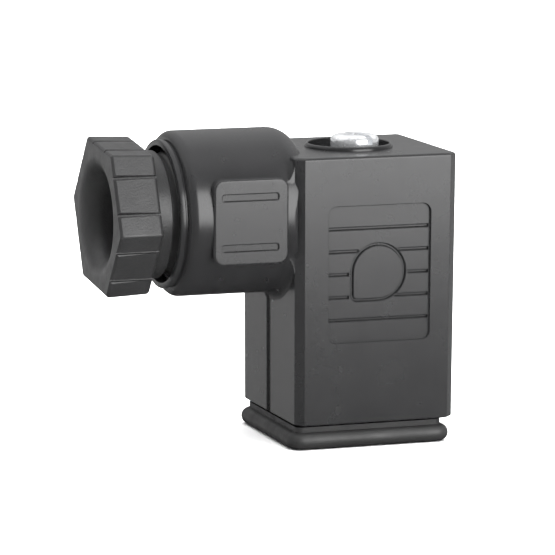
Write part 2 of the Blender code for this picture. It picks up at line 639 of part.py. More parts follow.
def main():
    for obj in list(bpy.data.objects):
        bpy.data.objects.remove(obj, do_unlink=True)
    materials = {
        "nylon": material("black_nylon", (0.045, 0.045, 0.048), 0.42),
        "gland": material("black_gland_nylon", (0.05, 0.05, 0.052), 0.5),
        "rubber": material("black_rubber", (0.03, 0.03, 0.032), 0.65),
        "block": material("grey_block_nylon", (0.09, 0.09, 0.095), 0.5),
        "zinc": material("zinc_plated_steel", (0.75, 0.76, 0.78), 0.25, 1.0),
        "brass": material("brass", (0.78, 0.6, 0.3), 0.3, 1.0),
    }
    make_housing(materials["nylon"])
    make_gasket(materials["rubber"])
    ring("gland_seal", materials["rubber"], GLAND_SEAL_X, GLAND_SEAL_RADII, THREAD_SIDES, "X",
         (0, 0, BARREL_Z), edge=0.25)
    ring("screw_seal", materials["rubber"], O_RING_Z, O_RING_RADII, SMALL_SIDES, edge=0.17)

    gland_axis = empty("gland_axis", (0, 0, BARREL_Z))
    ring("gland_washer", materials["zinc"], GLAND_WASHER_X, GLAND_WASHER_RADII, THREAD_SIDES, "X",
         (0, 0, BARREL_Z), gland_axis)
    make_gland_screw(materials["gland"], gland_axis)

    screw_axis = empty("screw_axis")
    ring("screw_washer", materials["zinc"], WASHER_Z, WASHER_RADII, ROUND_SIDES, parent=screw_axis)
    ring("screw_retainer", materials["rubber"], RETAINER_Z, RETAINER_RADII, SMALL_SIDES, parent=screw_axis)
    make_fixing_screw(materials["zinc"], screw_axis)

    insert_axis = empty("insert_axis")
    make_contact_block(materials["block"], insert_axis)
    for name, degrees in CONTACTS:
        make_contact(name, degrees, materials["brass"], insert_axis)
        make_terminal(name, degrees, materials, insert_axis)


main()
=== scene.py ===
"""Looks of a solenoid valve connector plug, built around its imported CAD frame."""

import math

import bmesh
import bpy
from mathutils import Matrix, Vector


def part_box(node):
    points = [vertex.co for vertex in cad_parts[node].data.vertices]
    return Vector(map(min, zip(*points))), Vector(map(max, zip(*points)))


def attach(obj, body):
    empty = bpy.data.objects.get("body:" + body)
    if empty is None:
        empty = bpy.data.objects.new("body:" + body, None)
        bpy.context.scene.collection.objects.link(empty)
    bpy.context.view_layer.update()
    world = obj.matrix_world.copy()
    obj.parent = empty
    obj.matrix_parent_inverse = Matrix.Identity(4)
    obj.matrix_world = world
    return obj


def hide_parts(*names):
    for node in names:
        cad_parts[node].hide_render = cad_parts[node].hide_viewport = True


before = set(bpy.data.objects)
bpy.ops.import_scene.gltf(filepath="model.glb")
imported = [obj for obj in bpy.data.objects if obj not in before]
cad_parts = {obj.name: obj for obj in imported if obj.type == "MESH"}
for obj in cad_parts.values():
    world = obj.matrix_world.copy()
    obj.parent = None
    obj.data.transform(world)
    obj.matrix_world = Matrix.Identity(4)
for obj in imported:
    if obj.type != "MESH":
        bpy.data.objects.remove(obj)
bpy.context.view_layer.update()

# Lengths are in millimetres unless a name says otherwise; MM turns them into metres.
MM = 0.001
TAU = 2 * math.pi


def node_box(node):
    """Lowest and highest corners of a CAD node, in millimetres."""
    low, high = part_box(node)
    return Vector(low) / MM, Vector(high) / MM


HOUSING_LOW, HOUSING_HIGH = node_box("housing")
GLAND_LOW, GLAND_HIGH = node_box("gland_screw")
GASKET_LOW, GASKET_HIGH = node_box("base_gasket")
SCREW_TOP = node_box("fixing_screw")[1].z
SEAL_LOW, SEAL_HIGH = node_box("gland_seal")
BLOCK_LOW, BLOCK_HIGH = node_box("contact_block")

# Box of the housing.
BODY_WIDTH = 16.05
BODY_HEIGHT = 25.3
PAD_PROUD = 0.23
BODY_RIGHT = HOUSING_HIGH.x
BODY_LEFT = BODY_RIGHT - BODY_WIDTH
BODY_HALF_Y = HOUSING_HIGH.y - PAD_PROUD
BODY_BOTTOM = HOUSING_LOW.z
BODY_TOP = BODY_BOTTOM + BODY_HEIGHT
DRAFT = 0.12
EDGE_CHAMFER = 0.75
BACK_CHAMFER = 0.2
TOP_ROUND = 0.3
FOOT_ROUND = 0.15
SIDE_GROOVE_WIDTH = 1.0
SIDE_GROOVE_DEPTH = 0.28
SIDE_GROOVE_Y = 0.45
WALL = 1.25
CAVITY_X = (BODY_LEFT + DRAFT + WALL, BLOCK_HIGH.x + 0.2)
CAVITY_HALF_Y = BODY_HALF_Y - DRAFT - WALL
CAVITY_TOP = BODY_TOP - 2.3

# Screw well; the screw stands a little to one side of its middle.
WELL_X = -0.6
COLLAR_RADIUS = 4.2
COLLAR_TOP = BODY_TOP + 0.37
WELL_RADIUS = 3.85
WELL_FLOOR = BODY_TOP - 4.4
BOSS_BOTTOM = BODY_TOP - 5.7
BOSS_RADIUS = 5.0
SCREW_HOLE_RADIUS = 1.6

# Front panel.
PANEL_LOW = (WELL_X - 4.77, BODY_BOTTOM + 7.7)
PANEL_HIGH = (WELL_X + 5.43, BODY_BOTTOM + 20.66)
PANEL_DEPTH = 0.3
PANEL_RADIUS = 0.8
RIB_LINES = 5
RIB_WIDTH = 0.26
RIB_DEPTH = 0.26
DISC_CENTRE = (WELL_X + 0.32, BODY_BOTTOM + 14.3)
DISC_RADIUS = 2.62

# Cable barrel.
BARREL_Z = (SEAL_LOW.z + SEAL_HIGH.z) / 2
BARREL_RADIUS = HOUSING_HIGH.z - BARREL_Z
BARREL_MOUTH = HOUSING_LOW.x
BARREL_EDGE = 0.85
LIP_RADIUS = 7.0
LIP_GROOVE_RADIUS = 6.85
LIP_GROOVE_X = BARREL_MOUTH + 0.55
BARREL_BODY_X = BARREL_MOUTH + 0.72
BARREL_ROUND = 2.4
BARREL_ROUND_X = BODY_LEFT - 0.3
SIDE_ROUND = 0.8
SIDE_ROUND_X = BODY_LEFT - 0.5
ROOT_FLARE = 1.0
PAD_X = (BARREL_MOUTH + 2.86, BODY_LEFT - 0.9)
PAD_Z = (BARREL_Z - 4.0, BARREL_Z + 4.05)
PAD_HALF_Y = HOUSING_HIGH.y
PAD_THICKNESS = 3.2
PAD_EDGE = 0.22
PAD_CORNER = 1.0
SLOT_X = (PAD_X[0] + 0.8, PAD_X[1] - 0.97)
SLOT_OFFSET = 2.35
SLOT_HEIGHT = 0.66
MOUTH_BORE_RADIUS = 6.45
MOUTH_BORE_END = BARREL_MOUTH + 1.25
SEAT_RADIUS = 5.45
SEAT_X = (BARREL_MOUTH + 6.76, BARREL_MOUTH + 8.96)
CABLE_BORE_RADIUS = 3.4

# Gland thread, PG7.
PITCH = 1.27
GLAND_ROOT = 5.5
GLAND_CREST = 6.05
THREAD_CLEARANCE = 0.25
SHANK_TURNS = 2.5
BORE_TURNS = 4
SHANK_THREAD = (GLAND_LOW.x + 6.2, GLAND_LOW.x + 6.2 + SHANK_TURNS * PITCH)

# Gland screw: hexagon, neck and bore.
HEX_CORNER = 7.85
HEX_DRAFT = 0.15
HEX_PHASE = math.radians(6.5)
MOUTH_ROUND = 1.9
GLAND_BORE = 3.8
HEX_BACK = GLAND_LOW.x + 4.24
HEX_GROOVE_WIDTH = 0.34
HEX_GROOVE_DEPTH = 0.3
HEX_GROOVE_OFFSET = 1.78
NECK_RADIUS = 6.0
NECK_END = GLAND_LOW.x + 5.62
RELIEF_RADIUS = 5.5

# Base gasket.
GASKET_CORNER = 1.5
GASKET_BEAD = 1.6
GASKET_FOOT_INSET = 0.72
GASKET_NECK_INSET = 0.8
OPENING_X = (-7.15, 5.95)
OPENING_HALF_Y = 6.4
OPENING_CORNER = 0.4

# Fixing screw, M2.5.
HEAD_HEIGHT = 1.75
HEAD_RADIUS = 2.3
HEAD_ROUND = 0.55
SCREW_CREST = 1.25
SCREW_ROOT = 0.96
SCREW_SHANK = 1.05
SCREW_THREAD_Z = (0.6, 7.8)
SCREW_PITCH = 0.45
CROSS_TURN = 0.35
CROSS_DEPTH = 0.85
CROSS_HALF_WIDTH = 0.3
CROSS_REACH = (2.6, 1.35)

# Washers and rubber rings: piece, CAD node, body, material slot, edge round, hole radius, whether
# it lies along the barrel.
RINGS = (
    ("cable_pressure_washer", "gland_washer", "gland_washer", "zinc_steel", 0.12, 3.9, True),
    ("cable_grip_ring", "gland_seal", "root", "black_rubber", 0.5, 3.2, True),
    ("head_washer", "screw_washer", "screw_washers", "zinc_steel", 0.09, 1.4, False),
    ("retaining_ring", "screw_retainer", "screw_washers", "black_rubber", 0.25, 1.2, False),
    ("well_o_ring", "screw_seal", "root", "black_rubber", 0.3, 1.75, False),
)

# Terminals of the contact block: label and direction from the fixing screw, in degrees.
TERMINALS = (("1", 90), ("2", -90), ("3", 180), ("earth", 0))
TERMINAL_RADIAL = 3.7
NUT_RADIAL = (2.45, 4.95)
NUT_HALF = 1.75
NUT_Z = (9.6, 12.0)
NUT_HOLE = 1.0
LEAF_STARTS = (3.25, 4.35)
LEAF_THICKNESS = 0.4
LEAF_HALF = 1.45
LEAF_END = 4.2
LEAF_BEND = 0.06
LEAF_TIP = 1.2
LEAF_TAPER = 0.86
CLAMP_HALF = (1.15, 1.55)
TERMINAL_HEAD_HEIGHT = 1.15
TERMINAL_HEAD_RADIUS = 1.15
TERMINAL_CREST = 0.85
TERMINAL_ROOT = 0.68
TERMINAL_PITCH = 0.4
TERMINAL_SLOT_HALF = 0.2
TERMINAL_SLOT_DEPTH = 0.5

# Contact block.
BLOCK_KEY = 1.2
BLOCK_ROUND = 0.35
BLOCK_EDGE = 0.15
BLOCK_HOLE = 1.75
POCKET_RADIAL = (2.3, 5.1)
POCKET_HALF = 1.9
POCKET_FLOOR = 4.0
BLADE_RADIAL = (3.5, 4.5)
BLADE_HALF = 1.6
BLADE_FLARE = 0.45

# Camera: angles in degrees.
CAMERA_ANGLES = (-19.45, 9.152, 0.269)
CAMERA_DISTANCE = 368.9
CAMERA_TARGET = (WELL_X - 7.09, 0, 15.294)
CAMERA_LENS = 252.2
CAMERA_SENSOR = 36.0

# Studio: lights as place, target, size and power, and the greys of the surroundings by the sine of
# their height, seen towards the front and towards the back.
FRONT_BOX = ((38, -118, 52), (0, 0, 16), (110, 106), 0.21)
FLOOR_FILL = ((0, 0, 900), (0, 0, 0), (1400, 1400), 48.0)
FLOOR_SIZE = 6000
SKY_STRENGTH = 1.6
FRONT_SKY = ((-1.0, 0.016), (-0.45, 0.016), (-0.1, 0.12), (0.2, 0.12), (0.5, 0.04), (0.8, 0.06),
             (0.95, 0.18), (1.0, 0.28))
BACK_SKY = ((-1.0, 0.016), (-0.5, 0.02), (-0.25, 0.22), (-0.1, 0.48), (0.15, 0.22), (0.4, 0.36),
            (0.8, 0.5), (1.0, 0.28))
FRONT_TO_BACK = ((-0.35, 0.0), (0.25, 1.0))

# Facets round turned shapes, and rows per turn of the large thread.
BARREL_SIDES = 128
ROUND_SIDES = 96
THREAD_SIDES = 64
THREAD_ROWS = 16
SMOOTH_ANGLE = math.radians(33)

# Surface detail: features per metre, and heights in metres.
CLOUD_SCALE = 220
GLOSS_SCALE = 700
WAVE_SCALE = 160
WAVE_HEIGHT = 0.00004
METAL_CLOUD_SCALE = 600
STREAK_SCALE = 3500
STREAK_HEIGHT = 0.00001
FLOOR_SCALE = 40


# ---------------------------------------------------------------- mesh helpers

def arc(centre, radius, start, stop, steps):
    """Points along an arc, angles in degrees."""
    points = []
    for i in range(steps + 1):
        angle = math.radians(start + (stop - start) * i / steps)
        points.append((centre[0] + radius * math.cos(angle), centre[1] + radius * math.sin(angle)))
    return points


def rounded_polygon(points, radius, steps=3):
    """Convex anticlockwise polygon with each corner replaced by a tangent arc."""
    result = []
    count = len(points)
    for i in range(count):
        corner = Vector(points[i])
        back = (Vector(points[i - 1]) - corner).normalized()
        ahead = (Vector(points[(i + 1) % count]) - corner).normalized()
        half = back.angle(ahead) / 2
        centre = corner + (back + ahead).normalized() * radius / math.sin(half)
        start = corner + back * radius / math.tan(half) - centre
        sweep = math.pi - 2 * half
        for j in range(steps + 1):
            result.append(tuple(centre + Matrix.Rotation(sweep * j / steps, 2) @ start))
    return result


def rounded_rectangle(low, high, radius, steps=6):
    """Rectangle outline with round corners."""
    corners = [(high[0], high[1]), (low[0], high[1]), (low[0], low[1]), (high[0], low[1])]
    return rounded_polygon(corners, radius, steps)


def loft(rings):
    """Closed solid through a stack of rings with equal counts, capped at both ends."""
    bm = bmesh.new()
    rows = [[bm.verts.new(point) for point in ring] for ring in rings]
    count = len(rows[0])
    for lower, upper in zip(rows, rows[1:]):
        for i in range(count):
            k = (i + 1) % count
            bm.faces.new((lower[i], lower[k], upper[k], upper[i]))
    bm.faces.new(rows[0])
    bm.faces.new(rows[-1])
    return bm


def lathe(profile, sides, phase=0.0):
    """Revolve a closed (along, radius) outline about Z; a zero radius closes on the axis."""
    bm = bmesh.new()
    rings = []
    for along, radius in profile:
        ring = []
        for i in range(1 if radius == 0 else sides):
            angle = TAU * i / sides + phase
            ring.append(bm.verts.new((radius * math.cos(angle), radius * math.sin(angle), along)))
        rings.append(ring)
    closed = all(radius > 0 for along, radius in profile)
    for j in range(len(rings) if closed else len(rings) - 1):
        lower, upper = rings[j], rings[(j + 1) % len(rings)]
        for i in range(sides):
            k = (i + 1) % sides
            corners = [lower[i % len(lower)], lower[k % len(lower)],
                       upper[k % len(upper)], upper[i % len(upper)]]
            bm.faces.new(list(dict.fromkeys(corners)))
    return bm


def tube_along(path, section):
    """Closed channel: section points (offset, height) swept round a closed planar path."""
    bm = bmesh.new()
    count = len(path)
    rows = []
    for i, point in enumerate(path):
        tangent = (Vector(path[(i + 1) % count]) - Vector(path[i - 1])).normalized()
        normal = Vector((tangent.y, -tangent.x))
        row = []
        for offset, height in section:
            spot = Vector(point) + normal * offset
            row.append(bm.verts.new((spot.x, spot.y, height)))
        rows.append(row)
    size = len(section)
    for i in range(count):
        a, b = rows[i], rows[(i + 1) % count]
        for j in range(size):
            k = (j + 1) % size
            bm.faces.new((a[j], b[j], b[k], a[k]))
    return bm


def thread_height(phase):
    """Height of a V thread with flats, from 0 at the root to 1 at the crest."""
    slope = abs(phase % 1.0 - 0.5) * 2
    return min(1.0, max(0.0, slope * 1.5 - 0.25))


def threaded_rod(before, span, radii, pitch, after, sides, rows_per_turn, phase=0.0, fade_start=True):
    """Turned solid along Z with a threaded stretch; before and after are (along, radius) rings."""
    low, high = span
    root, crest = radii
    rows = round((high - low) / pitch * rows_per_turn)
    rings = []

    def add_ring(along, radius_at):
        """One ring of the rod, with a radius that may change round it."""
        ring = []
        for i in range(sides):
            turn = i / sides + phase
            radius = radius_at(turn)
            ring.append((radius * math.cos(TAU * turn), radius * math.sin(TAU * turn), along))
        rings.append(ring)

    for along, radius in before:
        add_ring(along, lambda turn: radius)
    for j in range(rows + 1):
        along = low + (high - low) * j / rows
        fade = min(1.0, (high - along) / pitch * 2)
        if fade_start:
            fade = min(fade, (along - low) / pitch * 2)
        turns = (along - low) / pitch
        add_ring(along, lambda turn: root + (crest - root) * fade * thread_height(turns - turn))
    for along, radius in after:
        add_ring(along, lambda turn: radius)
    return loft(rings)


def along_x(bm):
    """Turn a shape made along Z so that it lies along X, with its angles measured from +Y."""
    bmesh.ops.transform(bm, matrix=Matrix(((0, 0, 1), (1, 0, 0), (0, 1, 0))).to_4x4(), verts=bm.verts)
    return bm


def facing_front(bm):
    """Turn a shape made in XY with its height along Z so that its plane is XZ and Z becomes Y."""
    bmesh.ops.transform(bm, matrix=Matrix(((1, 0, 0), (0, 0, 1), (0, 1, 0))).to_4x4(), verts=bm.verts)
    return bm


def moved(bm, x=0.0, y=0.0, z=0.0):
    """Shift a shape."""
    bmesh.ops.translate(bm, verts=bm.verts, vec=(x, y, z))
    return bm


def spun(bm, angle, axis="Z"):
    """Turn a shape about one axis."""
    bmesh.ops.rotate(bm, verts=bm.verts, matrix=Matrix.Rotation(angle, 3, axis))
    return bm


def box(x, y, z):
    """Box from its three ranges."""
    corners = [(x[0], y[0]), (x[1], y[0]), (x[1], y[1]), (x[0], y[1])]
    return loft([[(u, v, height) for u, v in corners] for height in z])


def make_object(name, bm):
    """Object from a bmesh in millimetres."""
    bmesh.ops.recalc_face_normals(bm, faces=bm.faces)
    bmesh.ops.scale(bm, vec=(MM, MM, MM), verts=bm.verts)
    mesh = bpy.data.meshes.new(name)
    bm.to_mesh(mesh)
    bm.free()
    obj = bpy.data.objects.new(name, mesh)
    bpy.context.scene.collection.objects.link(obj)
    return obj


def combine(target, bm, operation="DIFFERENCE"):
    """Apply one exact Boolean to target with the solid in bm, then drop the tool."""
    tool = make_object("tool", bm)
    mod = target.modifiers.new("combine", "BOOLEAN")
    mod.operation = operation
    mod.solver = "EXACT"
    mod.object = tool
    bpy.context.view_layer.update()
    result = bpy.data.meshes.new_from_object(target.evaluated_get(bpy.context.evaluated_depsgraph_get()))
    target.modifiers.clear()
    old = target.data
    target.data = result
    bpy.data.meshes.remove(old)
    tool_mesh = tool.data
    bpy.data.objects.remove(tool)
    bpy.data.meshes.remove(tool_mesh)


def dress(obj, mat, body, nodes):
    """Shade a finished piece, give it its material and tie it to the frame."""
    obj.data.materials.clear()
    obj.data.materials.append(mat)
    obj.data.shade_smooth()
    obj.data.set_sharp_from_angle(angle=SMOOTH_ANGLE)
    normals = obj.modifiers.new("flat_faces_stay_flat", "WEIGHTED_NORMAL")
    normals.keep_sharp = True
    normals.weight = 80
    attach(obj, body)
    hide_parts(*nodes)


# ---------------------------------------------------------------- materials

def base_material(name, colour, roughness, metallic=0.0, specular=0.5):
    """Material with one Principled shader."""
    mat = bpy.data.materials.new(name)
    mat.use_nodes = True
    shader = mat.node_tree.nodes["Principled BSDF"]
    shader.inputs["Base Color"].default_value = (*colour, 1.0)
    shader.inputs["Roughness"].default_value = roughness
    shader.inputs["Metallic"].default_value = metallic
    shader.inputs["Specular IOR Level"].default_value = specular
    return mat


def noise(mat, scale, detail=3.0, rough=0.55):
    """Noise in object space; scale is in features per metre."""
    tree = mat.node_tree
    coords = tree.nodes.get("Coords") or tree.nodes.new("ShaderNodeTexCoord")
    coords.name = "Coords"
    node = tree.nodes.new("ShaderNodeTexNoise")
    node.inputs["Scale"].default_value = scale
    node.inputs["Detail"].default_value = detail
    node.inputs["Roughness"].default_value = rough
    tree.links.new(coords.outputs["Object"], node.inputs["Vector"])
    return node


def ramp(mat, source, low, high, start=0.2, stop=0.8):
    """Map a value between two scalars or colours."""
    tree = mat.node_tree
    node = tree.nodes.new("ShaderNodeValToRGB")
    node.color_ramp.elements[0].position = start
    node.color_ramp.elements[1].position = stop
    node.color_ramp.elements[0].color = low if len(low) == 4 else (*low, 1.0)
    node.color_ramp.elements[1].color = high if len(high) == 4 else (*high, 1.0)
    tree.links.new(source, node.inputs["Fac"])
    return node.outputs["Color"]


def bump(mat, source, distance, strength, previous=None):
    """Bump from a height value, on top of an earlier normal when one is given."""
    tree = mat.node_tree
    node = tree.nodes.new("ShaderNodeBump")
    node.inputs["Distance"].default_value = distance
    node.inputs["Strength"].default_value = strength
    tree.links.new(source, node.inputs["Height"])
    if previous is not None:
        tree.links.new(previous, node.inputs["Normal"])
    return node.outputs["Normal"]


def moulded_plastic(name, dark, light, rough_low, rough_high, grain, grain_depth):
    """Moulded plastic or rubber: cloudy tone, uneven gloss, shallow waves and a fine grain."""
    mat = base_material(name, dark, rough_low)
    tree = mat.node_tree
    shader = tree.nodes["Principled BSDF"]
    cloud = noise(mat, CLOUD_SCALE, 4.0)
    tree.links.new(ramp(mat, cloud.outputs["Fac"], dark, light), shader.inputs["Base Color"])
    gloss = noise(mat, GLOSS_SCALE, 2.0, 0.5)
    tree.links.new(ramp(mat, gloss.outputs["Fac"], (rough_low,) * 3, (rough_high,) * 3),
                   shader.inputs["Roughness"])
    fine = noise(mat, grain, 2.0, 0.6)
    wave = noise(mat, WAVE_SCALE, 2.0, 0.5)
    normal = bump(mat, wave.outputs["Fac"], WAVE_HEIGHT, 0.3)
    normal = bump(mat, fine.outputs["Fac"], grain_depth, 0.6, normal)
    tree.links.new(normal, shader.inputs["Normal"])
    return mat


def plated_metal(name, dark, light, rough_low, rough_high, metallic=1.0):
    """Bright plated metal with faint brushing and tone drift."""
    mat = base_material(name, light, rough_low, metallic)
    tree = mat.node_tree
    shader = tree.nodes["Principled BSDF"]
    cloud = noise(mat, METAL_CLOUD_SCALE, 3.0)
    tree.links.new(ramp(mat, cloud.outputs["Fac"], dark, light), shader.inputs["Base Color"])
    streak = noise(mat, STREAK_SCALE, 3.0)
    tree.links.new(ramp(mat, streak.outputs["Fac"], (rough_low,) * 3, (rough_high,) * 3),
                   shader.inputs["Roughness"])
    tree.links.new(bump(mat, streak.outputs["Fac"], STREAK_HEIGHT, 0.4), shader.inputs["Normal"])
    return mat


def make_materials():
    """The six materials by their slot names."""
    return {
        "black_nylon": moulded_plastic("housing_nylon", (0.012, 0.012, 0.0125), (0.015, 0.015, 0.0155),
                                       0.24, 0.28, 9000, 0.0000025),
        "black_gland_nylon": moulded_plastic("gland_nylon", (0.012, 0.012, 0.0122), (0.02, 0.02, 0.0205),
                                             0.32, 0.46, 5200, 0.00004),
        "black_rubber": moulded_plastic("seal_rubber", (0.014, 0.014, 0.014), (0.022, 0.022, 0.022),
                                        0.42, 0.6, 7000, 0.00002),
        "grey_block_nylon": moulded_plastic("block_nylon", (0.035, 0.035, 0.037), (0.05, 0.05, 0.052),
                                            0.35, 0.5, 8000, 0.000015),
        "zinc_steel": plated_metal("zinc_plate", (0.7, 0.71, 0.73), (0.92, 0.93, 0.94), 0.16, 0.3, 0.78),
        "brass": plated_metal("tinned_brass", (0.62, 0.47, 0.24), (0.83, 0.68, 0.4), 0.2, 0.36),
    }


# ---------------------------------------------------------------- pieces

def body_ring(inset, height, radius=0.07):
    """Rounded chamfered outline of the box at one height."""
    x0, x1 = BODY_LEFT + inset, BODY_RIGHT - inset
    y = BODY_HALF_Y - inset
    c, b = EDGE_CHAMFER, BACK_CHAMFER
    corners = [(x1, -y + c), (x1, y - b), (x1 - b, y), (x0 + b, y), (x0, y - b), (x0, -y + c),
               (x0 + c, -y), (x1 - c, -y)]
    return [(u, v, height) for u, v in rounded_polygon(corners, radius, 2)]


def box_shape():
    """Drafted box with softened edges."""
    edge = TOP_ROUND
    foot = FOOT_ROUND
    rings = [body_ring(DRAFT + foot, BODY_BOTTOM), body_ring(DRAFT + foot * 0.3, BODY_BOTTOM + foot * 0.3),
             body_ring(DRAFT, BODY_BOTTOM + foot)]
    for inset, drop in arc((edge, edge), edge, 180, 90, 4):
        rings.append(body_ring(inset, BODY_TOP - edge + (drop - edge)))
    return loft(rings)


def barrel_shape():
    """Outer barrel: lip, groove, softened front edge and the round end on the box."""
    r = BARREL_RADIUS
    mouth = BARREL_MOUTH
    lip = LIP_RADIUS
    edge = BARREL_EDGE
    profile = [(mouth, 0), (mouth, lip - 0.12), (mouth + 0.04, lip - 0.04), (mouth + 0.12, lip),
               (LIP_GROOVE_X - 0.1, lip), (LIP_GROOVE_X - 0.02, lip - 0.06),
               (LIP_GROOVE_X, LIP_GROOVE_RADIUS), (BARREL_BODY_X, LIP_GROOVE_RADIUS),
               (BARREL_BODY_X, r - edge)]
    profile += arc((BARREL_BODY_X + edge, r - edge), edge, 180, 90, 8)[1:]
    profile += arc((BARREL_ROUND_X, r - BARREL_ROUND), BARREL_ROUND, 90, 0, 12)
    profile.append((BARREL_ROUND_X + BARREL_ROUND, 0))
    return moved(along_x(lathe(profile, BARREL_SIDES, 0.01)), z=BARREL_Z)


def root_flare():
    """Fillet where the barrel meets the left wall, kept inside the wall's outline."""
    reach = ROOT_FLARE
    start = BODY_LEFT - reach + 0.03
    r = BARREL_RADIUS - 0.03
    profile = [(start, 0)] + [(start, r)] + arc((start, r + reach), reach, -90, -8, 8)[1:]
    profile += [(BODY_LEFT + 0.6, r + reach), (BODY_LEFT + 0.6, 0)]
    flare = make_object("root_flare", moved(along_x(lathe(profile, BARREL_SIDES, 0.02)), z=BARREL_Z))
    half = BODY_HALF_Y - EDGE_CHAMFER - 0.03
    limits = box((start - 1, BODY_LEFT + 1), (-half, half), (BODY_BOTTOM + 5, BODY_TOP - 0.35))
    combine(flare, limits, "INTERSECT")
    return flare


def barrel_plan():
    """Prism with the barrel's outline from above, whose round ends run into the corner chamfers."""
    half = BARREL_RADIUS + 0.02
    centre_y = half - SIDE_ROUND
    inside_x = BODY_LEFT + 3
    outline = [(BARREL_MOUTH - 1, -half)] + arc((SIDE_ROUND_X, -centre_y), SIDE_ROUND, -90, 0, 12)
    outline += [(inside_x, -centre_y), (inside_x, centre_y)]
    outline += arc((SIDE_ROUND_X, centre_y), SIDE_ROUND, 0, 90, 12) + [(BARREL_MOUTH - 1, half)]
    span = (BARREL_Z - BARREL_RADIUS - 1, BARREL_Z + BARREL_RADIUS + 1)
    return loft([[(u, v, height) for u, v in outline] for height in span])


def taken(obj):
    """Bmesh of a helper object in millimetres; the object is removed."""
    bm = bmesh.new()
    bm.from_mesh(obj.data)
    bmesh.ops.scale(bm, vec=(1 / MM,) * 3, verts=bm.verts)
    bpy.data.objects.remove(obj)
    return bm


def pad_shape(side):
    """Raised flat pad on one side of the barrel, with softened edges."""
    edge = PAD_EDGE
    rings = []
    levels = [(PAD_HALF_Y - PAD_THICKNESS, 0.0)]
    levels += [(PAD_HALF_Y - edge + v - edge, u) for u, v in arc((edge, edge), edge, 180, 90, 4)]
    for level, inset in levels:
        low = (PAD_X[0] + inset, PAD_Z[0] + inset)
        high = (PAD_X[1] - inset, PAD_Z[1] - inset)
        flat = rounded_rectangle(low, high, PAD_CORNER - inset)
        rings.append([(u, side * level, v) for u, v in flat])
    return loft(rings)


def pad_slot(side, offset):
    """Shallow slot with round ends and a softened rim in a pad."""
    rings = []
    middle = BARREL_Z + offset
    half = SLOT_HEIGHT / 2
    for level, grow in ((-0.2, -0.06), (-0.15, 0.0), (-0.05, 0.0), (0.02, 0.08), (0.5, 0.4)):
        low = (SLOT_X[0] - grow, middle - half - grow)
        high = (SLOT_X[1] + grow, middle + half + grow)
        flat = rounded_rectangle(low, high, min(0.22 + max(grow, 0), half), 4)
        rings.append([(u, side * (PAD_HALF_Y + level), v) for u, v in flat])
    return loft(rings)


def panel_cutter(face, deep):
    """Recess of the front panel, with a small rim round."""
    rings = []
    for level, grow in ((deep, -0.05), (deep - 0.06, 0.0), (face + 0.04, 0.0), (face - 0.04, 0.05),
                        (face - 0.12, 0.14), (face - 1.0, 1.0)):
        flat = rounded_rectangle((PANEL_LOW[0] - grow, PANEL_LOW[1] - grow),
                                 (PANEL_HIGH[0] + grow, PANEL_HIGH[1] + grow), PANEL_RADIUS + grow)
        rings.append([(u, level, v) for u, v in flat])
    return loft(rings)


def groove_section(width, depth, flare=0.07):
    """Closed section (offset, height) of a groove cutter; height is 0 at the surface, negative outside."""
    half = width / 2
    return [(-half - flare - 0.3, -0.3), (-half - flare, -0.0), (-half, flare), (-half * 0.85, depth * 0.8),
            (-half * 0.5, depth), (half * 0.5, depth), (half * 0.85, depth * 0.8), (half, flare),
            (half + flare, -0.0), (half + flare + 0.3, -0.3)]


def line_cutter(x0, x1, z, deep):
    """Straight groove along X in the panel floor."""
    section = groove_section(RIB_WIDTH, RIB_DEPTH)
    rings = [[(x, deep + height, z + offset) for offset, height in section] for x in (x0, x1)]
    return loft(rings)


def disc_path():
    """Outline of the disc: a circle whose lower left quarter is squared off."""
    cx, cz = DISC_CENTRE
    r = DISC_RADIUS
    corner = 0.55
    points = arc((cx, cz), r, -90, 180, 54)
    low_left = arc((cx - r + corner, cz - r + corner), corner, 180, 270, 6)
    straight_down = [(cx - r, cz - (r - corner) * k / 4) for k in range(1, 4)]
    straight_right = [(cx - (r - corner) * (4 - k) / 4, cz - r) for k in range(1, 4)]
    return points + straight_down + low_left + straight_right


def cut_panel(housing):
    """Recess, five lines that stop at the disc, and the disc's own groove."""
    face = -BODY_HALF_Y + DRAFT / 2
    deep = face + PANEL_DEPTH
    combine(housing, panel_cutter(face, deep))
    pitch = (PANEL_HIGH[1] - PANEL_LOW[1]) / (RIB_LINES + 1)
    margin = 0.12
    for line in range(RIB_LINES):
        z = PANEL_LOW[1] + pitch * (line + 1)
        reach = DISC_RADIUS ** 2 - (z - DISC_CENTRE[1]) ** 2
        left, right = PANEL_LOW[0] + margin, PANEL_HIGH[0] - margin
        if reach > 0:
            half = math.sqrt(reach) + 0.3
            left_half = half if z > DISC_CENTRE[1] else DISC_RADIUS + 0.3
            combine(housing, line_cutter(left, DISC_CENTRE[0] - left_half, z, deep))
            combine(housing, line_cutter(DISC_CENTRE[0] + half, right, z, deep))
        else:
            combine(housing, line_cutter(left, right, z, deep))
    channel = tube_along(disc_path(), groove_section(RIB_WIDTH, RIB_DEPTH))
    combine(housing, moved(facing_front(channel), y=deep))


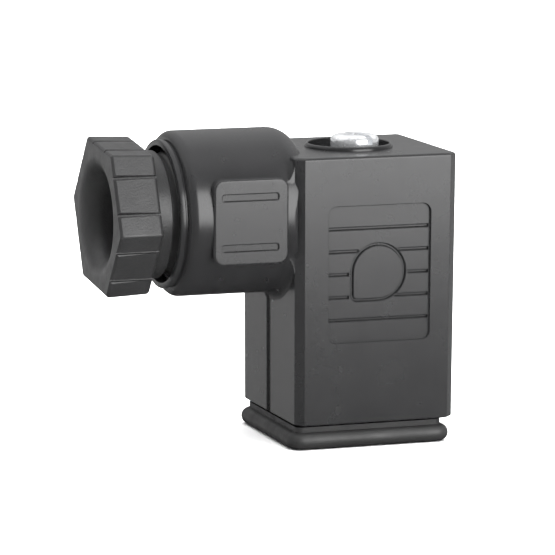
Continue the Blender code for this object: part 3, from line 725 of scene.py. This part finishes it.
def make_housing(mat):
    """One moulding: box, barrel with its flare, collar, pads, hollows, threaded mouth and front panel."""
    housing = make_object("housing_shell", box_shape())
    barrel = make_object("barrel", barrel_shape())
    combine(barrel, barrel_plan(), "INTERSECT")
    combine(housing, taken(barrel), "UNION")
    combine(housing, taken(root_flare()), "UNION")
    rim = COLLAR_TOP
    collar = [(BODY_TOP - 1, 0), (BODY_TOP - 1, COLLAR_RADIUS), (BODY_TOP + 0.06, COLLAR_RADIUS),
              (rim - 0.1, COLLAR_RADIUS - 0.08), (rim - 0.02, COLLAR_RADIUS - 0.16),
              (rim, COLLAR_RADIUS - 0.24), (rim, 0)]
    combine(housing, moved(lathe(collar, ROUND_SIDES), x=WELL_X), "UNION")
    for side in (-1, 1):
        combine(housing, pad_shape(side), "UNION")
        for offset in (-SLOT_OFFSET, SLOT_OFFSET):
            combine(housing, pad_slot(side, offset))
    combine(housing, side_groove())
    combine(housing, cavity())
    well = [(WELL_FLOOR, 0), (WELL_FLOOR, WELL_RADIUS), (rim - 0.1, WELL_RADIUS),
            (rim - 0.02, WELL_RADIUS + 0.05), (rim + 0.02, WELL_RADIUS + 0.12),
            (BODY_TOP + 2, WELL_RADIUS + 0.5), (BODY_TOP + 2, 0)]
    combine(housing, moved(lathe(well, ROUND_SIDES, 0.02), x=WELL_X))
    hole = [(BOSS_BOTTOM - 1, 0), (BOSS_BOTTOM - 1, SCREW_HOLE_RADIUS), (WELL_FLOOR - 0.1, SCREW_HOLE_RADIUS),
            (WELL_FLOOR + 0.1, SCREW_HOLE_RADIUS + 0.2), (WELL_FLOOR + 1, SCREW_HOLE_RADIUS + 0.2),
            (WELL_FLOOR + 1, 0)]
    combine(housing, lathe(hole, 48, 0.11))
    combine(housing, cable_bore())
    cut_panel(housing)
    dress(housing, mat, "root", ["housing"])


def side_groove():
    """Vertical groove in the middle of the left wall."""
    section = groove_section(SIDE_GROOVE_WIDTH, SIDE_GROOVE_DEPTH, 0.08)
    rings = []
    for z in (BODY_BOTTOM - 0.5, BARREL_Z - BARREL_RADIUS - 0.15):
        inset = DRAFT * (BODY_TOP - z) / BODY_HEIGHT
        rings.append([(BODY_LEFT + inset + height, SIDE_GROOVE_Y + offset, z) for offset, height in section])
    return loft(rings)


def cavity():
    """Hollow for the contact block and the wires, left round the well's boss."""
    flat = rounded_rectangle((CAVITY_X[0], -CAVITY_HALF_Y), (CAVITY_X[1], CAVITY_HALF_Y), 0.05, 1)
    shape = make_object("cavity", loft([[(u, v, z) for u, v in flat] for z in (0, CAVITY_TOP)]))
    boss = [(BOSS_BOTTOM, 0), (BOSS_BOTTOM, BOSS_RADIUS - 0.3), (BOSS_BOTTOM + 0.3, BOSS_RADIUS),
            (CAVITY_TOP + 1, BOSS_RADIUS), (CAVITY_TOP + 1, 0)]
    combine(shape, moved(lathe(boss, 64, 0.05), x=WELL_X))
    return taken(shape)


def cable_bore():
    """Threaded mouth, seal seat and cable hole of the barrel."""
    mouth = BARREL_MOUTH
    clear = THREAD_CLEARANCE
    before = [(mouth - 1, MOUTH_BORE_RADIUS + 0.15), (mouth + 0.12, MOUTH_BORE_RADIUS),
              (MOUTH_BORE_END, MOUTH_BORE_RADIUS)]
    start = SHANK_THREAD[0] + PITCH
    after = [(SEAT_X[0], SEAT_RADIUS), (SEAT_X[1], SEAT_RADIUS), (SEAT_X[1], CABLE_BORE_RADIUS),
             (CAVITY_X[0] + 1, CABLE_BORE_RADIUS)]
    rod = threaded_rod(before, (start, start + BORE_TURNS * PITCH), (GLAND_ROOT + clear, GLAND_CREST + clear),
                       PITCH, after, THREAD_SIDES, THREAD_ROWS, phase=0.004, fade_start=False)
    return moved(along_x(rod), z=BARREL_Z)


def hex_ring(inset, x, radius=0.3):
    """Hexagon outline with slightly round corners at one place along X."""
    corners = []
    for corner in range(6):
        angle = HEX_PHASE + corner * math.pi / 3
        size = HEX_CORNER - inset
        corners.append((size * math.cos(angle), size * math.sin(angle)))
    return [(x, u, v) for u, v in rounded_polygon(corners, radius, 4)]


def make_gland(mat):
    """Hollow hexagon screw with grip grooves, a plain neck, a relief and its thread."""
    front, back = GLAND_LOW.x, HEX_BACK
    slack = HEX_DRAFT
    stations = [(0.28, front), (0.2, front + 0.02), (0.03, front + 0.17), (0.0, front + 0.27),
                (slack, back - 0.4), (slack + 0.05, back - 0.2), (slack + 0.2, back - 0.05),
                (slack + 0.35, back)]
    gland = make_object("gland_nut_screw", loft([hex_ring(inset, x) for inset, x in stations]))
    end = GLAND_HIGH.x
    before = [(back - 1, NECK_RADIUS), (NECK_END - 0.1, NECK_RADIUS), (NECK_END, NECK_RADIUS - 0.1),
              (NECK_END + 0.02, RELIEF_RADIUS)]
    after = [(end - 0.12, RELIEF_RADIUS - 0.03), (end, RELIEF_RADIUS - 0.15)]
    rod = threaded_rod(before, SHANK_THREAD, (GLAND_ROOT, GLAND_CREST), PITCH, after, THREAD_SIDES,
                       THREAD_ROWS)
    combine(gland, along_x(rod), "UNION")
    mouth = GLAND_BORE + MOUTH_ROUND
    bore = [(front - 1, 0), (front - 1, mouth)]
    bore += arc((front + MOUTH_ROUND, mouth), MOUTH_ROUND, 180, 270, 16)
    bore += [(end - 0.3, GLAND_BORE), (end + 0.1, GLAND_BORE + 0.4), (end + 1, GLAND_BORE + 0.4),
             (end + 1, 0)]
    combine(gland, along_x(lathe(bore, ROUND_SIDES, 0.03)))
    flat = HEX_CORNER * math.cos(math.pi / 6)
    section = groove_section(HEX_GROOVE_WIDTH, HEX_GROOVE_DEPTH, 0.1)
    for facet in range(6):
        turn = HEX_PHASE + (facet + 0.5) * math.pi / 3
        for side in (-1, 1):
            rings = [[(x, flat - height, side * HEX_GROOVE_OFFSET + offset) for offset, height in section]
                     for x in (front - 0.5, back + 0.5)]
            combine(gland, spun(loft(rings), turn, "X"))
    gland = make_object("gland_nut_screw", moved(taken(gland), z=BARREL_Z))
    dress(gland, mat, "gland_screw", ["gland_screw"])


def make_gasket(mat):
    """Bead gasket: round bead, neck under the box and a rectangular opening."""
    low, high = GASKET_LOW, GASKET_HIGH
    radius = GASKET_BEAD / 2
    stations = [(0.0, GASKET_FOOT_INSET), (0.02, GASKET_FOOT_INSET - 0.06)]
    stations += [(radius + side, radius - out) for out, side in arc((0, 0), radius, -68, 72, 12)]
    stations += [(GASKET_BEAD, GASKET_FOOT_INSET), (GASKET_BEAD + 0.03, GASKET_NECK_INSET),
                 (high.z, GASKET_NECK_INSET)]
    rings = []
    for height, inset in stations:
        flat = rounded_rectangle((low.x + inset, low.y + inset), (high.x - inset, high.y - inset),
                                 GASKET_CORNER - inset, 8)
        rings.append([(u, v, height) for u, v in flat])
    gasket = make_object("bead_gasket", loft(rings))
    rings = []
    for height, grow in ((-0.5, 0.12), (0.0, 0.08), (0.08, 0.0), (high.z + 0.5, 0.0)):
        flat = rounded_rectangle((OPENING_X[0] - grow, -OPENING_HALF_Y - grow),
                                 (OPENING_X[1] + grow, OPENING_HALF_Y + grow), OPENING_CORNER + grow, 5)
        rings.append([(u, v, height) for u, v in flat])
    combine(gasket, loft(rings))
    dress(gasket, mat, "root", ["base_gasket"])


def make_fixing_screw(mat):
    """Long M2.5 screw: thread, plain shank and a domed head with a cross slot and a recess."""
    top = SCREW_TOP
    head = top - HEAD_HEIGHT
    dome = top - HEAD_ROUND
    before = [(0, SCREW_ROOT - 0.25), (0.06, SCREW_ROOT - 0.18), (0.25, SCREW_ROOT)]
    after = [(8.0, SCREW_SHANK), (head, SCREW_SHANK), (head, HEAD_RADIUS - 0.1),
             (head + 0.05, HEAD_RADIUS - 0.03), (head + 0.12, HEAD_RADIUS), (dome, HEAD_RADIUS)]
    after += [(dome + HEAD_ROUND * math.sin(math.radians(a)), 1.6 + 0.7 * math.cos(math.radians(a)))
              for a in range(15, 91, 15)]
    after += [(top, 0.9), (top, 0.3)]
    rod = threaded_rod(before, SCREW_THREAD_Z, (SCREW_ROOT + 0.02, SCREW_CREST), SCREW_PITCH, after, 48, 10)
    screw = make_object("captive_screw", rod)
    width = CROSS_HALF_WIDTH
    section = [(-width, top - CROSS_DEPTH), (width, top - CROSS_DEPTH), (width + 0.05, top + 0.5),
               (-width - 0.05, top + 0.5)]
    for number, reach in enumerate(CROSS_REACH):
        rings = [[(u, v, w) for u, w in section] for v in (-reach, reach)]
        combine(screw, spun(loft(rings), CROSS_TURN + number * math.pi / 2))
    recess = [(top - 1.1, 0), (top - 1.0, 0.3), (top + 0.01, 0.75), (top + 0.5, 0.95), (top + 0.5, 0)]
    combine(screw, lathe(recess, 16, 0.1))
    dress(screw, mat, "fixing_screw", ["fixing_screw"])


def make_rings(materials):
    """Washers and rubber rings with round edges, each filling its CAD node's length and radii."""
    for name, node, body, slot, edge, hole, along_barrel in RINGS:
        low, high = node_box(node)
        if along_barrel:
            span, outer = (low.x, high.x), (high.z - low.z) / 2
        else:
            span, outer = (low.z, high.z), (high.x - low.x) / 2
        corner = min(edge, (span[1] - span[0]) / 2 - 0.005)
        bm = lathe(rounded_rectangle((span[0], hole), (span[1], outer), corner, 5), ROUND_SIDES, 0.02)
        if along_barrel:
            bm = moved(along_x(bm), z=BARREL_Z)
        dress(make_object(name, bm), materials[slot], body, [node])


def soft_block(x, y, z, edge):
    """Box from its three ranges with rounded edges all round."""
    bm = box(x, y, z)
    bmesh.ops.bevel(bm, geom=bm.edges[:], offset=edge, offset_type="OFFSET", segments=3, profile=0.5,
                    affect="EDGES", clamp_overlap=True)
    return bm


def make_contact(label, degrees, mat):
    """Nut block of one contact with a chamfered screw hole and its two spring leaves."""
    turn = math.radians(degrees)
    nut = soft_block(NUT_RADIAL, (-NUT_HALF, NUT_HALF), NUT_Z, 0.12)
    contact = make_object(f"contact_body_{label}", spun(nut, turn))
    for inner, bend in zip(LEAF_STARTS, (LEAF_BEND, -LEAF_BEND)):
        leaf = soft_block((inner, inner + LEAF_THICKNESS), (-LEAF_HALF, LEAF_HALF),
                          (LEAF_END, NUT_Z[0] + 0.5), 0.1)
        for vert in leaf.verts:
            if vert.co.z < LEAF_END + LEAF_TIP:
                vert.co.y *= LEAF_TAPER
                vert.co.x += bend * (LEAF_END + LEAF_TIP - vert.co.z)
        combine(contact, spun(leaf, turn), "UNION")
    low, high = NUT_Z
    wide = NUT_HOLE + 0.1
    hole = [(low - 1, 0), (low - 1, wide), (low, wide), (low + 0.1, NUT_HOLE), (high - 0.1, NUT_HOLE),
            (high, wide), (high + 1, wide), (high + 1, 0)]
    combine(contact, spun(moved(lathe(hole, 40, 0.05), x=TERMINAL_RADIAL), turn))
    dress(contact, mat, "contact_insert", [f"contact_{label}"])


def make_clamp(label, degrees, mat):
    """Wire clamp plate with rounded edges and a screw hole."""
    turn = math.radians(degrees)
    low, high = node_box(f"wire_clamp_{label}")
    middle = TERMINAL_RADIAL
    plate = soft_block((middle - CLAMP_HALF[0], middle + CLAMP_HALF[0]), (-CLAMP_HALF[1], CLAMP_HALF[1]),
                       (low.z, high.z), 0.1)
    clamp = make_object(f"clamp_plate_{label}", spun(plate, turn))
    wide = NUT_HOLE + 0.08
    hole = [(low.z - 1, 0), (low.z - 1, NUT_HOLE), (high.z - 0.08, NUT_HOLE), (high.z, wide),
            (high.z + 1, wide), (high.z + 1, 0)]
    combine(clamp, spun(moved(lathe(hole, 40, 0.05), x=middle), turn))
    dress(clamp, mat, f"wire_clamp_{label}", [f"wire_clamp_{label}"])


def make_terminal_screw(label, mat):
    """Slotted terminal screw with a domed head and a fine thread."""
    low, high = node_box(f"terminal_screw_{label}")
    x, y = (low.x + high.x) / 2, (low.y + high.y) / 2
    head = high.z - TERMINAL_HEAD_HEIGHT
    rim = TERMINAL_HEAD_RADIUS
    root = TERMINAL_ROOT
    before = [(low.z, root - 0.2), (low.z + 0.12, root)]
    after = [(head - 0.02, root), (head, rim - 0.08), (head + 0.08, rim), (high.z - 0.3, rim)]
    after += [(high.z - 0.3 + 0.3 * math.sin(math.radians(a)), rim - 0.35 + 0.35 * math.cos(math.radians(a)))
              for a in range(18, 91, 18)]
    rod = threaded_rod(before, (low.z + 0.12, head - 0.3), (root, TERMINAL_CREST), TERMINAL_PITCH, after,
                       40, 10)
    screw = make_object(f"clamp_screw_{label}", rod)
    combine(screw, box((-1.5, 1.5), (-TERMINAL_SLOT_HALF, TERMINAL_SLOT_HALF),
                       (high.z - TERMINAL_SLOT_DEPTH, high.z + 1)))
    screw = make_object(f"clamp_screw_{label}", moved(taken(screw), x=x, y=y))
    dress(screw, mat, f"terminal_screw_{label}", [f"terminal_screw_{label}"])


def make_terminals(materials):
    """Contact, wire clamp and terminal screw of each terminal."""
    for label, degrees in TERMINALS:
        make_contact(label, degrees, materials["brass"])
        make_clamp(label, degrees, materials["zinc_steel"])
        make_terminal_screw(label, materials["zinc_steel"])


def insert_body():
    """Keyed outline of the contact block with round corners and softened top and bottom edges."""
    low, high = BLOCK_LOW, BLOCK_HIGH
    middle = (low + high) / 2
    half = (high - low) / 2
    corners = [(high.x, low.y), (high.x, high.y), (low.x + BLOCK_KEY, high.y), (low.x, high.y - BLOCK_KEY),
               (low.x, low.y + BLOCK_KEY), (low.x + BLOCK_KEY, low.y)]
    outline = rounded_polygon(corners, BLOCK_ROUND, 4)
    edge = BLOCK_EDGE
    rings = []
    for z, inset in ((low.z, edge), (low.z + 0.05, 0.05), (low.z + edge, 0.0), (high.z - edge, 0.0),
                     (high.z - 0.05, 0.05), (high.z, edge)):
        rings.append([(middle.x + (u - middle.x) * (1 - inset / half.x),
                       middle.y + (v - middle.y) * (1 - inset / half.y), z) for u, v in outline])
    return loft(rings)


def blade_slot(grow):
    """Outline of the slot for one coil pin."""
    return rounded_rectangle((BLADE_RADIAL[0] - grow, -BLADE_HALF - grow),
                             (BLADE_RADIAL[1] + grow, BLADE_HALF + grow), 0.2 + grow, 4)


def make_contact_block(mat):
    """Insulating insert with a screw hole, pockets and flared blade slots."""
    low, high = BLOCK_LOW.z, BLOCK_HIGH.z
    insert = make_object("terminal_insert", insert_body())
    wide = BLOCK_HOLE + 0.1
    hole = [(low - 1, 0), (low - 1, wide), (low, wide), (low + 0.1, BLOCK_HOLE), (high - 0.1, BLOCK_HOLE),
            (high, wide), (high + 1, wide), (high + 1, 0)]
    combine(insert, lathe(hole, 64, 0.07))
    pocket = rounded_rectangle((POCKET_RADIAL[0], -POCKET_HALF), (POCKET_RADIAL[1], POCKET_HALF), 0.15, 3)
    for _, degrees in TERMINALS:
        turn = math.radians(degrees)
        for stack in (((POCKET_FLOOR, pocket), (high + 1, pocket)),
                      ((0.0, blade_slot(0.0)), (POCKET_FLOOR + 1, blade_slot(0.0))),
                      ((low - 0.5, blade_slot(BLADE_FLARE)), (low + 0.25, blade_slot(0.0)))):
            combine(insert, spun(loft([[(u, v, z) for u, v in outline] for z, outline in stack]), turn))
    dress(insert, mat, "contact_insert", ["contact_block"])


# ---------------------------------------------------------------- stage

def make_camera():
    """Long-lens view from the left front, slightly above."""
    azimuth, elevation, roll = (math.radians(a) for a in CAMERA_ANGLES)
    back = Vector((math.sin(azimuth) * math.cos(elevation), -math.cos(azimuth) * math.cos(elevation),
                   math.sin(elevation)))
    right = Vector((math.cos(azimuth), math.sin(azimuth), 0))
    up = back.cross(right)
    x = right * math.cos(roll) + up * math.sin(roll)
    y = up * math.cos(roll) - right * math.sin(roll)
    data = bpy.data.cameras.new("camera")
    data.sensor_width = CAMERA_SENSOR
    data.lens = CAMERA_LENS
    data.clip_start = 0.005
    data.clip_end = 20.0
    camera = bpy.data.objects.new("camera", data)
    place = (Vector(CAMERA_TARGET) + back * CAMERA_DISTANCE) * MM
    camera.matrix_world = Matrix.Translation(place) @ Matrix((x, y, back)).transposed().to_4x4()
    bpy.context.scene.collection.objects.link(camera)
    bpy.context.scene.camera = camera


def area_light(name, place, target, size, power, glossy=True):
    """Rectangular light aimed at a point and unseen by the camera."""
    data = bpy.data.lights.new(name, "AREA")
    data.shape = "RECTANGLE"
    data.size, data.size_y = (s * MM for s in size)
    data.energy = power
    light = bpy.data.objects.new(name, data)
    light.location = Vector(place) * MM
    light.rotation_euler = (Vector(target) - Vector(place)).to_track_quat("-Z", "Y").to_euler()
    light.visible_camera = False
    light.visible_glossy = glossy
    bpy.context.scene.collection.objects.link(light)


def make_world():
    """Studio surroundings: brightness set by the height of the direction, a little by its side."""
    world = bpy.data.worlds.new("studio")
    world.use_nodes = True
    tree = world.node_tree
    shade = tree.nodes["Background"]
    coords = tree.nodes.new("ShaderNodeTexCoord")
    split = tree.nodes.new("ShaderNodeSeparateXYZ")
    tree.links.new(coords.outputs["Generated"], split.inputs["Vector"])

    def curve(axis, stops):
        """Greys along one axis of the direction; stops are (value from -1 to 1, grey)."""
        spread = tree.nodes.new("ShaderNodeMapRange")
        spread.inputs["From Min"].default_value = -1.0
        spread.inputs["From Max"].default_value = 1.0
        tree.links.new(split.outputs[axis], spread.inputs["Value"])
        node = tree.nodes.new("ShaderNodeValToRGB")
        elements = node.color_ramp.elements
        while len(elements) < len(stops):
            elements.new(0.5)
        for element, (value, grey) in zip(elements, stops):
            element.position = (value + 1) / 2
            element.color = (grey, grey, grey, 1.0)
        tree.links.new(spread.outputs["Result"], node.inputs["Fac"])
        return node.outputs["Color"]

    front = curve("Z", FRONT_SKY)
    back = curve("Z", BACK_SKY)
    side = curve("Y", FRONT_TO_BACK)
    mix = tree.nodes.new("ShaderNodeMix")
    mix.data_type = "RGBA"
    tree.links.new(side, mix.inputs["Factor"])
    colours = [socket for socket in mix.inputs if socket.type == "RGBA"]
    tree.links.new(front, colours[0])
    tree.links.new(back, colours[1])
    result = [socket for socket in mix.outputs if socket.type == "RGBA"][0]
    tree.links.new(result, shade.inputs["Color"])
    shade.inputs["Strength"].default_value = SKY_STRENGTH
    bpy.context.scene.world = world
    bpy.context.scene.view_settings.view_transform = "Standard"


def make_stage():
    """Pale floor, a soft box in front and a wide light overhead that only brightens."""
    floor_mat = base_material("pale_floor", (0.88, 0.88, 0.88), 0.9, specular=0.0)
    tone = noise(floor_mat, FLOOR_SCALE, 2.0)
    shader = floor_mat.node_tree.nodes["Principled BSDF"]
    floor_mat.node_tree.links.new(ramp(floor_mat, tone.outputs["Fac"], (0.87,) * 3, (0.89,) * 3),
                                  shader.inputs["Base Color"])
    bm = bmesh.new()
    bmesh.ops.create_grid(bm, x_segments=2, y_segments=2, size=FLOOR_SIZE)
    floor = make_object("floor", bm)
    floor.data.materials.append(floor_mat)
    floor.visible_glossy = False

    area_light("front_box", *FRONT_BOX)
    area_light("floor_fill", *FLOOR_FILL, glossy=False)


def main():
    """Make every piece, the camera and the studio."""
    materials = make_materials()
    make_housing(materials["black_nylon"])
    make_gland(materials["black_gland_nylon"])
    make_gasket(materials["black_rubber"])
    make_fixing_screw(materials["zinc_steel"])
    make_rings(materials)
    make_contact_block(materials["grey_block_nylon"])
    make_terminals(materials)
    make_camera()
    make_world()
    make_stage()


main()
